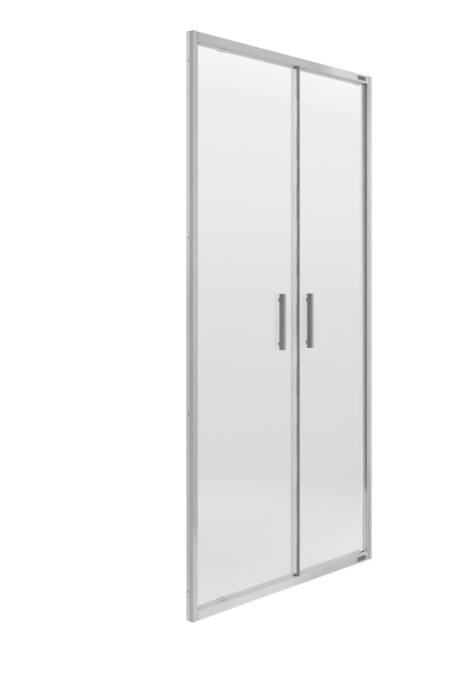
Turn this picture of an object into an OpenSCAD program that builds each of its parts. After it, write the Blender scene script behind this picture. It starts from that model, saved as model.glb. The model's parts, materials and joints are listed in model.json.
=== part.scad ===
// Bifold shower door: two glass leaves that fold inwards in a frame screwed to two walls.
// Millimetres. +Z is up, the room side is -Y, the shower side is +Y.
// The origin is the middle of the bottom rail's underside.

/* [Frame] */
// Overall width, wall to wall
frame_w = 1000; // [900:10:1200]
// Overall height
frame_h = 1950; // [1700:10:2100]
// Depth of the rails and wall profiles
frame_d = 32; // [32:0.5:36]
// Height of the top and bottom rails
rail_h = 30; // [29:0.5:38]
// Wall of the rails' extrusion
rail_wall = 1.8; // [1.4:0.1:2.2]
// Width of a wall profile's flange
wall_profile_w = 19; // [16:0.5:26]
// Thickness of a wall profile's web, against the wall
wall_web = 2.4; // [2:0.1:3]
// Thickness of a wall profile's two flanges
wall_flange = 1.6; // [1.2:0.1:2]
// Depth of the sealant relief in the web's outer face
relief_depth = 0.8; // [0.4:0.1:1.2]
// Width of the sealant relief, from the front edge
relief_w = 15; // [10:0.5:15.5]
// Rounding of the extrusions' outer edges
edge_r = 1; // [0.5:0.1:1.4]
// Thickness of the plastic caps on top of the wall profiles
end_cap_t = 2; // [1.5:0.5:3]

/* [Jambs] */
// Width of a jamb section
jamb_w = 22; // [18:0.5:26]
// Wall of a jamb section
jamb_wall = 1.6; // [1.2:0.1:2]
// Jamb that shows beyond the wall profile at the closing side
reveal_closing = 6; // [5:0.5:12]
// Jamb that shows beyond the wall profile at the pivot side
reveal_pivot = 10; // [8:0.5:16]
// Play between a jamb and its wall profile
jamb_play = 0.2; // [0.1:0.05:0.3]

/* [Wall fixing] */
// Radius of a wall fixing hole
wall_hole_r = 2.75; // [2:0.05:3.5]
// Number of fixing holes in a wall profile
wall_holes = 4; // [3:1:6]
// First and last fixing hole, from the frame's bottom and top
wall_hole_end = 97.5; // [60:0.5:150]
// Fixing holes, behind the middle of the profile
wall_hole_y = 4; // [0:0.5:8]

/* [Leaves] */
// Glass thickness
glass_t = 6; // [5:0.5:6]
// Middle of the glass, behind the middle of the frame
glass_y = 6; // [5.5:0.1:6.5]
// Rounding of the glass corners
glass_corner_r = 4; // [2:0.5:8]
// Pivot axis, from the wall at the pivot side
pivot_inset = 73; // [70:0.5:76]
// Guide axis, from the wall at the closing side
guide_inset = 158; // [100:1:180]
// Glass that reaches past the pivot axis
pivot_tail = 26; // [24:0.5:27]
// Gap between the leaves' end caps and the rails
leaf_gap = 1; // [0.6:0.1:2]
// Gap between the lead leaf's magnet seal and the one on the jamb
closing_gap = 1.5; // [1.2:0.1:2]
// Largest turn of the pivot leaf
fold_limit = 80; // [60:1:80]

/* [Hinge] */
// Hinge axis, in front of the glass
hinge_reach = 15; // [14:0.5:17]
// Outer radius of a knuckle
knuckle_r = 5.5; // [5:0.1:6]
// Radius of the hinge pin
pin_r = 2.5; // [2:0.1:3]
// Running clearance of every pin in its bore
pin_play = 0.05; // [0.02:0.01:0.1]
// Number of knuckles, an odd number
knuckles = 17; // [9:2:25]
// Thickness of a washer between two knuckles
washer_t = 1; // [0.8:0.1:1.5]
// Gap on each side of a washer
washer_play = 0.1; // [0.05:0.05:0.2]
// Width of the channel that holds the glass
channel_w = 13; // [12:0.5:26]
// Wall of the channel
channel_wall = 2; // [1.6:0.1:2.4]
// Thickness of the channel's web and of the knuckle arm
channel_web = 2.5; // [2:0.1:3]
// Gap from the hinge plane to each channel
channel_gap = 0.5; // [0.4:0.1:1]
// Thickness of the glazing gasket beside the glass
gasket_t = 0.75; // [0.5:0.05:1]
// Depth of the gasket under the glass edge
gasket_floor = 2; // [1:0.5:3]
// Clear space round a knuckle in the other leaf's notch
notch_play = 0.8; // [0.5:0.1:1.2]
// Height of the plastic caps on the hinge profiles
hinge_cap_h = 7; // [5:0.5:10]

/* [Handles] */
// Handle length
handle_l = 205; // [150:5:260]
// Handle width
handle_w = 16; // [15:0.5:20]
// How far a handle stands proud of the glass
handle_d = 22; // [20:0.5:23]
// Thickness of the handle's front flange
handle_front = 5; // [3:0.5:6]
// Thickness of the handle's foot on the glass
handle_foot = 2; // [1.5:0.5:3]
// Thickness of the handle's web between the two finger grooves
handle_web = 7; // [6:0.5:7.5]
// Height of a handle's end caps
handle_cap_h = 8; // [6:0.5:12]
// Middle of a handle, from the hinge axis
handle_offset = 79; // [75:1:120]
// Shift of both handles towards the closing side
handle_shift = 3; // [0:0.5:4]
// Height of the handles' middle above the floor
handle_z = 975; // [850:5:1100]
// Distance between a handle's two screws
handle_pitch = 160; // [100:5:170]
// Radius of a handle screw
handle_screw_r = 2.5; // [2:0.1:3]
// Radius of a hole in the glass
glass_hole_r = 5; // [4.5:0.1:6]
// Radius of the rose under a handle screw
rose_r = 9; // [8:0.5:12]
// Thickness of a rose
rose_t = 3.5; // [3:0.5:5]

/* [Pivots and guides] */
// Length of a glass clamp
clamp_l = 38; // [34:1:46]
// Height of a clamp's jaws on the glass, to which they are bonded
clamp_jaw_h = 2; // [1.5:0.5:20]
// Thickness of each jaw
clamp_jaw_t = 3; // [2.5:0.1:3]
// Distance between a clamp's two screws
clamp_pitch = 24; // [20:1:26]
// Radius of a clamp screw
clamp_screw_r = 1.2; // [1:0.05:1.2]
// Radius of the pivot pins
pivot_pin_r = 4; // [3:0.1:4.5]
// Outer radius of the pivot bushes
bush_r = 6; // [5.5:0.1:6.5]
// Depth of a bush below the rail's face
bush_depth = 18; // [14:0.5:20]
// Length of a pivot block
block_l = 50; // [40:1:52]
// Play round a pivot block in the track
block_play = 0.1; // [0.05:0.05:0.2]
// Width of the track slot
slot_w = 12; // [11:0.5:13]
// Gap between a guide wheel and each side of the track
wheel_gap = 0.7; // [0.5:0.1:1]
// Height of a guide wheel
wheel_h = 8; // [6:0.5:10]
// Radius of a guide wheel's axle
axle_r = 3; // [2.5:0.1:3.5]
// Radius of the collar above a guide wheel
collar_r = 4.5; // [4:0.1:5]
// Gap between a guide wheel and its collar or head
wheel_play = 0.3; // [0.2:0.05:0.5]
// Thickness of the head that keeps a guide wheel on its axle
axle_head_t = 2.5; // [2:0.5:3]
// Top face of a guide wheel, below the rail's face
wheel_depth = 8; // [6:0.5:9]
// Length of a track stop
stop_l = 14; // [10:1:20]
// Length of a pivot cover
cover_l = 52; // [46:1:56]
// Height of a pivot cover
cover_h = 16; // [14:0.5:25]
// Middle of a pivot cover, from the pivot axis towards the wall
cover_shift = 5; // [0:0.5:6]
// Thickness of a pivot cover's face
cover_t = 1.2; // [0.8:0.1:1.6]

/* [Seals] */
// Depth of the magnet seal's jaws on the glass
seal_jaw = 9; // [6:0.5:12]
// Depth of the sweep seals' jaws on the glass
sweep_jaw = 5; // [3:0.5:8]
// Wall of the seals' jaws
seal_wall = 1; // [0.8:0.1:1.4]
// Gap between the sweep seals and the rails
sweep_gap = 0.8; // [0.5:0.1:1.5]
// Thickness of the magnet strip on the jamb
magnet_t = 2.4; // [2:0.1:3]
// Thickness of the magnet strip on the lead leaf
leaf_magnet_t = 4; // [3:0.5:5]
// Width of the magnet strips
magnet_w = 10; // [8:0.5:12]
// Gap between the side seal's lip and the pivot leaf
side_seal_gap = 1; // [0.8:0.1:1.5]
// Thickness of the lip behind the hinge
lip_t = 1.5; // [1:0.1:2]
// Gap between that lip and the pivot leaf's channel
lip_gap = 0.3; // [0.3:0.05:0.5]

/* [Hidden] */
$fn = 48;
// Extra length of a cut past a face
cut = 1;

// Planes of the frame
x_left = -frame_w / 2;
x_right = frame_w / 2;
y_front = -frame_d / 2;
y_back = frame_d / 2;
rail_x0 = x_left + wall_profile_w + reveal_closing;
rail_x1 = x_right - wall_profile_w - reveal_pivot;
jamb_y = y_back - wall_flange - jamb_play;

wall_hole_pitch = (frame_h - 2 * wall_hole_end) / (wall_holes - 1);

// Axes. The hinge is midway between the pivot and the guide, so that the guide runs straight
pivot_x = x_right - pivot_inset;
leaf_arm = (frame_w - pivot_inset - guide_inset) / 2;
hinge_x = pivot_x - leaf_arm;
guide_x = hinge_x - leaf_arm;
glass_y0 = glass_y - glass_t / 2;
glass_y1 = glass_y + glass_t / 2;
hinge_y = glass_y0 - hinge_reach;

// Guide's place along the track when the leaves are folded
fold_dy = glass_y - hinge_y;
guide_x_folded = pivot_x - 2 * (leaf_arm * cos(fold_limit) + fold_dy * sin(fold_limit));

// Heights of the leaves
leaf_z0 = rail_h + leaf_gap;
glass_z0 = leaf_z0 + hinge_cap_h;
glass_z1 = frame_h - glass_z0;
glass_h = glass_z1 - glass_z0;

// Hinge channel, measured from the hinge axis
channel_y0 = hinge_reach - gasket_t - channel_wall;
channel_y1 = hinge_reach + glass_t + gasket_t + channel_wall;
channel_x1 = channel_gap + channel_w;
pocket_x = channel_gap + channel_web;
glass_in = pocket_x + gasket_floor;
pitch = glass_h / knuckles;
joint_gap = washer_t + 2 * washer_play;
notch_y = knuckle_r + notch_play;

// Edges of the two panes
lead_x0 = rail_x0 + magnet_t + closing_gap + leaf_magnet_t;
lead_x1 = hinge_x - glass_in;
pane_x0 = hinge_x + glass_in;
pane_x1 = pivot_x + pivot_tail;

// Track chamber in a rail, centred on the glass
track_half = y_back - rail_wall - glass_y;
rib_t = 1.5;
rib_y1 = glass_y - track_half;
wheel_r = track_half - wheel_gap;

// Screw ports in a rail
port_y = (y_front + rail_wall + rib_y1 - rib_t) / 2;
port_r = 3.3;
port_bore_r = 1.9;
port_z = [rail_h * 0.25, rail_h * 0.75];
corner_screw_r = 1.8;

// Set screws of a pivot block: radius, place beside the pivot axis and length
set_screw_r = 2.5;
set_screw_x = block_l * 0.3;
set_screw_l = 8;

// Window in a rail's front wall, behind a pivot cover
window_l = 2 * (set_screw_x + set_screw_r + 0.5);
port_web = 2;
window_h = port_z[1] - port_z[0] - port_web - 1;
cover_z = (port_z[0] + port_z[1]) / 2;

// Screws that hold the jambs: their place behind the wall profile's lip, and their length
adjuster_r = 2;
adjuster_l = 7;
adjuster_inset = 5;
adjuster_zs = [for (t = [0.12, 0.5, 0.88]) frame_h * t];
// Play of a fixing screw in its hole
screw_play = 0.1;
// Floor of a pivot bush, and the space between it and the pin's end
bush_floor = 2;
pin_space = 1;
// Height of a clamp's screws, in its base
clamp_screw_z = leaf_z0 + hinge_cap_h * 0.55;
// Depth of a pin or axle in its clamp's base
set_in = 4;
// Length of a clamp's screws, which end in its far side
clamp_screw_l = clamp_jaw_t + glass_t + clamp_jaw_t / 2;
// Length of a handle's screws inside the handle
handle_screw_in = 13;
// Saw cut along a clamp's underside, which its screws close on the pin or axle
split_w = 0.8;
split_h = set_in + 0.5;

// Drain slots in the bottom rail
drain_w = 14;
drain_h = 3;

// Gap between a sweep seal's end and what it meets
seal_end = 1;

// Shared shapes

// Rectangle with its four corners rounded, from corner a to corner b
module rounded(a, b, r) {
  translate([a[0] + r, a[1]]) square([b[0] - a[0] - 2 * r, b[1] - a[1]]);
  translate([a[0], a[1] + r]) square([b[0] - a[0], b[1] - a[1] - 2 * r]);
  for (x = [a[0] + r, b[0] - r], y = [a[1] + r, b[1] - r]) translate([x, y]) circle(r);
}

// Plain rectangle from corner a to corner b
module rect(a, b) {
  translate(a) square([b[0] - a[0], b[1] - a[1]]);
}

// Box from corner a to corner b
module box(a, b) {
  translate(a) cube([b[0] - a[0], b[1] - a[1], b[2] - a[2]]);
}

// A section drawn in Y and Z, run along X
module along_x(x0, x1) {
  translate([x0, 0, 0]) rotate([90, 0, 90]) linear_extrude(x1 - x0) children();
}

// A section drawn in X and Y, run up Z
module along_z(z0, z1) {
  translate([0, 0, z0]) linear_extrude(z1 - z0) children();
}

// Cylinder along Y that starts at p
module rod_y(p, r, l) {
  translate(p) rotate([-90, 0, 0]) cylinder(r = r, h = l);
}

// Turned upside down, from the bottom rail to the top rail
module at_top() {
  translate([0, 0, frame_h]) mirror([0, 0, 1]) children();
}

// Countersunk screw whose head's face is at the origin, and whose shank runs up Z
module countersunk(r, l, recess_r = 1.2) {
  difference() {
    union() {
      cylinder(r1 = 2 * r, r2 = r, h = r);
      cylinder(r = r, h = l);
    }
    translate([0, 0, -cut]) cylinder(r = recess_r, h = cut + 0.7 * r, $fn = 6);
  }
}

// The space that a countersunk screw takes, with its play
module countersink(r, l, play = screw_play) {
  translate([0, 0, -cut]) cylinder(r = 2 * r + play, h = cut + 0.01);
  cylinder(r1 = 2 * r + play, r2 = r + play, h = r);
  cylinder(r = r + play, h = l);
}

// Frame

// Left wall profile: a channel that opens towards the door
module wall_profile() {
  difference() {
    along_z(0, frame_h - end_cap_t) difference() {
      rounded([x_left, y_front], [x_left + wall_profile_w, y_back], edge_r);
      rect([x_left + wall_web, y_front + wall_flange], [x_left + wall_profile_w + cut, y_back - wall_flange]);
      rect([x_left - cut, y_front - cut], [x_left + relief_depth, y_front + relief_w]);
    }
    for (i = [0 : wall_holes - 1])
      translate([x_left - cut, wall_hole_y, wall_hole_end + i * wall_hole_pitch])
        rotate([0, 90, 0]) cylinder(r = wall_hole_r, h = wall_web + 2 * cut);
    for (z = adjuster_zs)
      translate([x_left + wall_profile_w - adjuster_inset, y_back, z])
        rotate([90, 0, 0]) countersink(adjuster_r, adjuster_l + cut);
  }
}

// Jamb section from its inner face: a channel that opens towards the wall
module jamb(inner_x) {
  screw_x = x_left + wall_profile_w - adjuster_inset;
  difference() {
    along_z(0, frame_h - end_cap_t) {
      difference() {
        rect([inner_x - jamb_w, -jamb_y], [inner_x, jamb_y]);
        rect([inner_x - jamb_w - cut, jamb_wall - jamb_y], [inner_x - jamb_wall, jamb_y - jamb_wall]);
      }
    }
    for (z = adjuster_zs)
      rod_y([screw_x, jamb_y - jamb_wall - cut, z], adjuster_r + jamb_play + screw_play, jamb_wall + 2 * cut);
    for (z = port_z, side = [0, 1])
      translate([inner_x - jamb_wall - cut, port_y, side * frame_h + (1 - 2 * side) * z])
        rotate([0, 90, 0]) cylinder(r = corner_screw_r + screw_play, h = jamb_wall + 2 * cut);
  }
}

// Cap over a wall profile and its jamb, with a tongue that plugs into the jamb
module end_cap(reveal) {
  tongue_h = 8;
  tongue_w = 4.2;
  inner_x = x_left + wall_profile_w + reveal - jamb_wall - jamb_play;
  along_z(frame_h - end_cap_t, frame_h)
    rounded([x_left, y_front], [x_left + wall_profile_w + reveal, y_back], edge_r);
  along_z(frame_h - end_cap_t - tongue_h, frame_h - end_cap_t)
    rect([inner_x - tongue_w, glass_y - 9], [inner_x, glass_y + 4]);
}

// Section of the bottom rail, drawn in Y and Z
module rail_section() {
  difference() {
    rounded([y_front, 0], [y_back, rail_h], edge_r);
    rect([y_front + rail_wall, rail_wall], [rib_y1 - rib_t, rail_h - rail_wall]);
    rect([rib_y1, rail_wall], [y_back - rail_wall, rail_h - rail_wall]);
    rect([glass_y - slot_w / 2, rail_h - rail_wall - cut], [glass_y + slot_w / 2, rail_h + cut]);
  }
  for (z = port_z) difference() {
    translate([port_y, z]) union() {
      circle(port_r);
      rect([y_front + rail_wall - port_y - 0.2, -port_web / 2], [0, port_web / 2]);
    }
    translate([port_y, z]) circle(port_bore_r);
    translate([port_y, z]) rect([0, -0.8], [port_r + cut, 0.8]);
  }
}

// A rail with the window for the pivot's set screws
module rail() {
  difference() {
    along_x(rail_x0, rail_x1) rail_section();
    box([pivot_x - window_l / 2, y_front - cut, cover_z - window_h / 2],
        [pivot_x + window_l / 2, y_front + rail_wall + 0.05, cover_z + window_h / 2]);
    for (x = [-1, 1] * set_screw_x)
      rod_y([pivot_x + x, rib_y1 - rib_t - cut, cover_z], set_screw_r + screw_play, rib_t + 2 * cut);
  }
}

module wall_profile_left() {
  color("silver") wall_profile();
}

module wall_profile_right() {
  color("silver") mirror([1, 0, 0]) wall_profile();
}

module jamb_left() {
  color("silver") jamb(rail_x0);
}

module jamb_right() {
  color("silver") mirror([1, 0, 0]) jamb(-rail_x1);
}

module top_rail() {
  color("silver") at_top() rail();
}

module bottom_rail() {
  color("silver") difference() {
    rail();
    for (t = [0.2, 0.5, 0.8])
      translate([rail_x0 + (rail_x1 - rail_x0) * t - drain_w / 2, y_back - rail_wall - cut, rail_wall])
        cube([drain_w, rail_wall + 2 * cut, drain_h]);
  }
}

module end_cap_left() {
  color("gainsboro") end_cap(reveal_closing);
}

module end_cap_right() {
  color("gainsboro") mirror([1, 0, 0]) end_cap(reveal_pivot);
}

// Screws through the jambs into the rails' ports
module corner_screws() {
  head_h = 2;
  color("lightgray")
    for (z = port_z, top = [0, 1], end = [0, 1]) {
      x = end == 0 ? rail_x0 - jamb_wall : rail_x1 + jamb_wall;
      translate([x, port_y, top * frame_h + (1 - 2 * top) * z]) mirror([end, 0, 0]) rotate([0, 90, 0]) {
        cylinder(r = corner_screw_r, h = 16);
        translate([0, 0, -head_h]) difference() {
          cylinder(r = 3.2, h = head_h);
          translate([0, 0, -cut]) cylinder(r = 1.4, h = cut + 1.2, $fn = 6);
        }
      }
    }
}

// Screws that hold the jambs in the wall profiles, on the shower side
module adjuster_screws() {
  color("lightgray")
    for (side = [-1, 1], z = adjuster_zs)
      translate([side * (frame_w / 2 - wall_profile_w + adjuster_inset), y_back, z])
        rotate([90, 0, 0]) countersunk(adjuster_r, adjuster_l);
}

// Pivots in the rails

module pivot_block() {
  z0 = rail_wall;
  z1 = rail_h - rail_wall;
  difference() {
    box([pivot_x - block_l / 2, rib_y1 + block_play, z0],
        [pivot_x + block_l / 2, y_back - rail_wall - block_play, z1]);
    translate([pivot_x, glass_y, rail_h - bush_depth]) cylinder(r = bush_r, h = bush_depth + cut);
    for (x = [-1, 1] * set_screw_x)
      rod_y([pivot_x + x, rib_y1 - cut, cover_z], set_screw_r, set_screw_l + cut);
  }
}

module pivot_bush() {
  translate([pivot_x, glass_y, 0]) difference() {
    translate([0, 0, rail_h - bush_depth]) cylinder(r = bush_r, h = bush_depth);
    translate([0, 0, rail_h - bush_depth + bush_floor]) cylinder(r = pivot_pin_r + pin_play, h = bush_depth);
  }
}

module set_screws() {
  for (x = [-1, 1] * set_screw_x)
    difference() {
      rod_y([pivot_x + x, rib_y1 - rib_t, cover_z], set_screw_r, set_screw_l);
      translate([pivot_x + x, rib_y1 - rib_t - cut, cover_z]) rotate([-90, 0, 0])
        cylinder(r = 1.4, h = 2.5 + cut, $fn = 6);
    }
}

// Cover over a rail's window, with a rim that sits in it
module pivot_cover() {
  rim = 1.2;
  rim_play = 0.1;
  rim_y = y_front + rail_wall + 1.5;
  translate([pivot_x, 0, cover_z]) {
    translate([cover_shift, y_front, 0]) rotate([90, 0, 0]) linear_extrude(cover_t)
      rounded([-cover_l / 2, -cover_h / 2], [cover_l / 2, cover_h / 2], 2);
    translate([0, rim_y, 0]) rotate([90, 0, 0]) linear_extrude(rim_y - y_front) difference() {
      square([window_l - 2 * rim_play, window_h - 2 * rim_play], center = true);
      square([window_l - 2 * rim, window_h - 2 * rim], center = true);
    }
  }
}

// Stop in a track, with a hole to pull it out by
module track_stop() {
  hole_r = 2;
  hole_depth = 6;
  x0 = guide_x_folded + wheel_r + wheel_gap;
  difference() {
    box([x0, rib_y1 + block_play, rail_wall],
        [x0 + stop_l, y_back - rail_wall - block_play, rail_h - rail_wall]);
    translate([x0 + stop_l / 2, glass_y, rail_h - rail_wall - hole_depth])
      cylinder(r = hole_r, h = hole_depth + cut);
  }
}

module pivot_block_top() {
  color("dimgray") at_top() pivot_block();
}

module pivot_block_bottom() {
  color("dimgray") pivot_block();
}

module pivot_bush_top() {
  color("ivory") at_top() pivot_bush();
}

module pivot_bush_bottom() {
  color("ivory") pivot_bush();
}

module pivot_block_screws() {
  color("lightgray") {
    set_screws();
    at_top() set_screws();
  }
}

module pivot_cover_top() {
  color("#3a3a3c") at_top() pivot_cover();
}

module pivot_cover_bottom() {
  color("#3a3a3c") pivot_cover();
}

module track_stop_top() {
  color("ivory") at_top() track_stop();
}

module track_stop_bottom() {
  color("ivory") track_stop();
}

// Seals on the jambs

module jamb_magnet_seal() {
  color("gainsboro") along_z(rail_h, frame_h - rail_h)
    rounded([rail_x0, glass_y - magnet_w / 2], [rail_x0 + magnet_t, glass_y + magnet_w / 2], 0.5);
}

// A base on the jamb and a lip that reaches for the pivot leaf
module side_seal() {
  base_t = 2;
  lip_x = pivot_x + norm([pivot_tail, glass_t / 2]) + side_seal_gap;
  lip_r = 1.2;
  color("gainsboro") along_z(rail_h, frame_h - rail_h) {
    rect([rail_x1 - base_t, glass_y - magnet_w / 2], [rail_x1, glass_y + magnet_w / 2]);
    rect([lip_x + lip_r, glass_y - lip_r], [rail_x1 - base_t + 0.1, glass_y + lip_r]);
    translate([lip_x + lip_r, glass_y]) circle(lip_r);
  }
}

// Leaves

// A pane with rounded corners, and holes at the points given in X and Z
module pane(x0, x1, holes) {
  difference() {
    translate([0, glass_y1, 0]) rotate([90, 0, 0]) linear_extrude(glass_t)
      rounded([x0, glass_z0], [x1, glass_z1], glass_corner_r);
    for (h = holes) rod_y([h[0], glass_y0 - cut, h[1]], glass_hole_r, glass_t + 2 * cut);
  }
}

// Middle of the handle on the pivot leaf (side 1) or the lead leaf (side -1)
function handle_x(side) = hinge_x + side * handle_offset - handle_shift;

function handle_holes(x) = [for (dz = [-1, 1] * handle_pitch / 2) [x, handle_z + dz]];

module pivot_glass() {
  color("#dfeeee", 0.35) pane(pane_x0, pane_x1, handle_holes(handle_x(1)));
}

module lead_glass() {
  color("#dfeeee", 0.35) pane(lead_x0, lead_x1, handle_holes(handle_x(-1)));
}

// Children are drawn from the hinge axis. Side 1 is the pivot leaf and side -1 the lead leaf
module from_hinge(side) {
  translate([hinge_x, hinge_y, 0]) mirror([side == 1 ? 0 : 1, 0, 0]) children();
}

// Plan of a hinge profile: the channel round the glass and the arm to the knuckles
module hinge_plan() {
  difference() {
    rounded([channel_gap, channel_y0], [channel_x1, channel_y1], edge_r / 2);
    rect([pocket_x, hinge_reach - gasket_t], [channel_x1 + cut, hinge_reach + glass_t + gasket_t]);
  }
  rect([channel_gap, 0], [channel_gap + channel_web, channel_y0 + 1]);
}

// A hinge profile with its own knuckles, notched for those of the other leaf
module hinge_profile(own) {
  difference() {
    along_z(glass_z0, glass_z1) {
      hinge_plan();
      circle(knuckle_r);
    }
    translate([0, 0, glass_z0 - cut]) cylinder(r = pin_r + pin_play, h = glass_h + 2 * cut);
    for (k = [0 : knuckles - 1]) if (k % 2 != own)
      box([-knuckle_r - cut, -knuckle_r - cut, glass_z0 + k * pitch - (k == 0 ? cut : joint_gap / 2)],
          [channel_x1, notch_y, glass_z0 + (k + 1) * pitch + (k == knuckles - 1 ? cut : joint_gap / 2)]);
    for (k = [1 : knuckles - 1])
      box([-knuckle_r - cut, -knuckle_r - cut, glass_z0 + k * pitch - joint_gap / 2],
          [channel_x1, notch_y, glass_z0 + k * pitch + joint_gap / 2]);
  }
}

module glazing_gasket() {
  along_z(glass_z0, glass_z1) difference() {
    rect([pocket_x, hinge_reach - gasket_t], [channel_x1, hinge_reach + glass_t + gasket_t]);
    rect([glass_in, hinge_reach], [channel_x1 + cut, hinge_reach + glass_t]);
  }
}

// Plan of a hinge cap, with or without the round cover for the pin
module hinge_cap_plan(over_pin) {
  rounded([channel_gap, channel_y0], [channel_x1, channel_y1], 1);
  rect([channel_gap, over_pin ? 0 : notch_y], [channel_gap + channel_web, channel_y0 + 1]);
  if (over_pin) circle(knuckle_r);
}

module hinge_cap(side, over_pin) {
  from_hinge(side) along_z(leaf_z0, glass_z0) hinge_cap_plan(over_pin);
}

module pivot_hinge_profile() {
  color("gainsboro") from_hinge(1) hinge_profile(0);
}

module lead_hinge_profile() {
  color("gainsboro") from_hinge(-1) hinge_profile(1);
}

module hinge_pin() {
  end_play = 0.3;
  color("lightgray") from_hinge(1)
    translate([0, 0, glass_z0 + end_play]) cylinder(r = pin_r, h = glass_h - 2 * end_play);
}

module hinge_washers() {
  color("#3a3a3c") from_hinge(1)
    for (k = [1 : knuckles - 1]) translate([0, 0, glass_z0 + k * pitch - washer_t / 2]) difference() {
      cylinder(r = knuckle_r, h = washer_t);
      translate([0, 0, -cut]) cylinder(r = pin_r + pin_play, h = washer_t + 2 * cut);
    }
}

module pivot_hinge_cap_top() {
  color("#3a3a3c") at_top() hinge_cap(1, false);
}

module pivot_hinge_cap_bottom() {
  color("#3a3a3c") hinge_cap(1, false);
}

module lead_hinge_cap_top() {
  color("#3a3a3c") at_top() hinge_cap(-1, true);
}

module lead_hinge_cap_bottom() {
  color("#3a3a3c") hinge_cap(-1, true);
}

module pivot_glazing_gasket() {
  color("gray") from_hinge(1) glazing_gasket();
}

module lead_glazing_gasket() {
  color("gray") from_hinge(-1) glazing_gasket();
}

// Lip on the back of the lead leaf's channel, over the gap to the other channel
module hinge_lip_seal() {
  lip_over = 8;
  lip_on = 11;
  color("gainsboro") from_hinge(1) along_z(glass_z0, glass_z1) {
    rect([-lip_on, channel_y1], [-channel_gap, channel_y1 + lip_gap + 0.1]);
    rounded([-lip_on, channel_y1 + lip_gap], [lip_over, channel_y1 + lip_gap + lip_t], 0.6);
  }
}

// Clamps, pins and guides

// A shoe on the bottom edge of the glass at x, split below so that it grips what is set in it
module glass_clamp(x) {
  x0 = x - clamp_l / 2;
  x1 = x + clamp_l / 2;
  difference() {
    translate([0, glass_y1 + clamp_jaw_t, 0]) rotate([90, 0, 0]) linear_extrude(glass_t + 2 * clamp_jaw_t)
      rounded([x0, leaf_z0], [x1, glass_z0 + clamp_jaw_h], 2);
    box([x0 - cut, glass_y0, glass_z0], [x1 + cut, glass_y1, glass_z0 + clamp_jaw_h + cut]);
    box([x0 - cut, glass_y - split_w / 2, leaf_z0 - cut], [x1 + cut, glass_y + split_w / 2, leaf_z0 + split_h]);
    for (dx = [-1, 1] * clamp_pitch / 2)
      translate([x + dx, glass_y1 + clamp_jaw_t, clamp_screw_z])
        rotate([90, 0, 0]) countersink(clamp_screw_r, clamp_screw_l + 0.3);
    children();
  }
}

module clamp_screws(x) {
  for (dx = [-1, 1] * clamp_pitch / 2)
    translate([x + dx, glass_y1 + clamp_jaw_t, clamp_screw_z])
      rotate([90, 0, 0]) countersunk(clamp_screw_r, clamp_screw_l, 0.8);
}

module pivot_clamp() {
  glass_clamp(pivot_x) translate([pivot_x, glass_y, leaf_z0 - cut]) cylinder(r = pivot_pin_r, h = set_in + cut);
}

module guide_clamp() {
  glass_clamp(guide_x) translate([guide_x, glass_y, leaf_z0 - cut]) cylinder(r = axle_r, h = set_in + cut);
}

module pivot_pin() {
  end_z = rail_h - bush_depth + bush_floor + pin_space;
  translate([pivot_x, glass_y, end_z]) {
    translate([0, 0, 1]) cylinder(r = pivot_pin_r, h = leaf_z0 + set_in - end_z - 1);
    cylinder(r1 = pivot_pin_r - 1, r2 = pivot_pin_r, h = 1);
  }
}

// Axle with a collar above the wheel and a head below it
module guide_axle() {
  wheel_z1 = rail_h - wheel_depth;
  wheel_z0 = wheel_z1 - wheel_h;
  head_z1 = wheel_z0 - wheel_play;
  translate([guide_x, glass_y, 0]) {
    translate([0, 0, head_z1 - 0.1]) cylinder(r = axle_r, h = leaf_z0 + set_in - head_z1 + 0.1);
    translate([0, 0, wheel_z1 + wheel_play]) cylinder(r = collar_r, h = leaf_z0 - wheel_z1 - wheel_play);
    translate([0, 0, head_z1 - axle_head_t]) cylinder(r1 = collar_r - 1, r2 = collar_r, h = axle_head_t);
  }
}

// Wheel with a crowned tyre face and a sunk hub
module guide_wheel() {
  crown = 0.6;
  translate([guide_x, glass_y, rail_h - wheel_depth - wheel_h]) difference() {
    rotate_extrude() polygon([
      [0, 0.8], [wheel_r - 2.2, 0.8], [wheel_r - 1.8, 0], [wheel_r - crown, 0], [wheel_r, wheel_h * 0.25],
      [wheel_r, wheel_h * 0.75], [wheel_r - crown, wheel_h], [wheel_r - 1.8, wheel_h],
      [wheel_r - 2.2, wheel_h - 0.8], [axle_r + 1.4, wheel_h - 0.8], [axle_r + 1.4, wheel_h], [0, wheel_h]
    ]);
    translate([0, 0, -cut]) cylinder(r = axle_r + pin_play, h = wheel_h + 2 * cut);
  }
}

module pivot_clamp_top() {
  color("silver") at_top() pivot_clamp();
}

module pivot_clamp_bottom() {
  color("silver") pivot_clamp();
}

module guide_clamp_top() {
  color("silver") at_top() guide_clamp();
}

module guide_clamp_bottom() {
  color("silver") guide_clamp();
}

module pivot_pin_top() {
  color("lightgray") at_top() pivot_pin();
}

module pivot_pin_bottom() {
  color("lightgray") pivot_pin();
}

module guide_axle_top() {
  color("lightgray") at_top() guide_axle();
}

module guide_axle_bottom() {
  color("lightgray") guide_axle();
}

module pivot_clamp_screws() {
  color("lightgray") {
    clamp_screws(pivot_x);
    at_top() clamp_screws(pivot_x);
  }
}

module guide_clamp_screws() {
  color("lightgray") {
    clamp_screws(guide_x);
    at_top() clamp_screws(guide_x);
  }
}

module guide_wheel_top() {
  color("ivory") at_top() guide_wheel();
}

module guide_wheel_bottom() {
  color("ivory") guide_wheel();
}

// Seals on the leaves

// Section of a sweep seal, drawn in Y and Z: two jaws on the glass edge and a fin below them
module sweep_section() {
  z0 = rail_h + sweep_gap;
  floor_z = glass_z0 - seal_wall;
  rect([glass_y0 - seal_wall, floor_z], [glass_y0, glass_z0 + sweep_jaw]);
  rect([glass_y1, floor_z], [glass_y1 + seal_wall, glass_z0 + sweep_jaw]);
  rect([glass_y0, floor_z], [glass_y1, glass_z0]);
  rect([glass_y0 - seal_wall, z0], [glass_y0, floor_z]);
  rect([glass_y1 - 2, z0], [glass_y1 - 1, floor_z]);
}

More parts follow.
